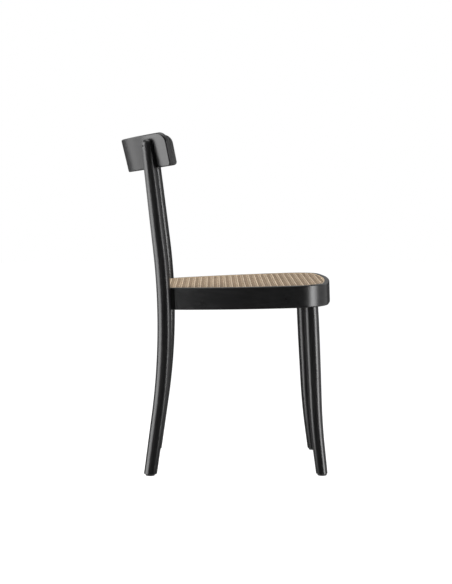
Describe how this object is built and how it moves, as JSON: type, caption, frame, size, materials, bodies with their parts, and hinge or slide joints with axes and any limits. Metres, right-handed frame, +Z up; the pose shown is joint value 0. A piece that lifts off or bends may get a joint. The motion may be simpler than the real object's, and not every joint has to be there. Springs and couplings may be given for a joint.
{
  "type": "bentwood chair",
  "caption": "Black bentwood dining chair with round curved legs, a rounded seat ring with a woven cane seat and a wide curved back board.",
  "frame": {"origin": "on the floor, under the middle of the chair's outline seen from above", "axes": "+Z up, -Y towards the sitter's front, +X towards the sitter's left, across the mirror plane"},
  "size_m": [0.4502, 0.507, 0.8078],
  "materials": {
    "black_lacquer": "beech under satin black lacquer",
    "cane": "natural woven cane",
    "reed": "natural reed",
    "bare_beech": "bare sanded beech",
    "zinc_steel": "zinc plated",
    "brass": "turned",
    "glide_plastic": "matt black plastic"
  },
  "bodies": {
    "root": {"back_board": "black_lacquer", "back_board_plugs": "black_lacquer", "back_board_screws": "zinc_steel", "cane_panel": "cane", "cane_spline": "reed", "corner_block_screws": "zinc_steel", "front_corner_block_left": "bare_beech", "front_corner_block_right": "bare_beech", "front_leg_left": "black_lacquer", "front_leg_right": "black_lacquer", "glide_front_left": "glide_plastic", "glide_front_right": "glide_plastic", "glide_nails": "zinc_steel", "glide_rear_left": "glide_plastic", "glide_rear_right": "glide_plastic", "rear_corner_block_left": "bare_beech", "rear_corner_block_right": "bare_beech", "rear_leg_bolts": "zinc_steel", "rear_leg_inserts": "brass", "rear_leg_left": "black_lacquer", "rear_leg_right": "black_lacquer", "rear_leg_washers": "zinc_steel", "seat_ring": "black_lacquer"}
  },
  "joints": []
}
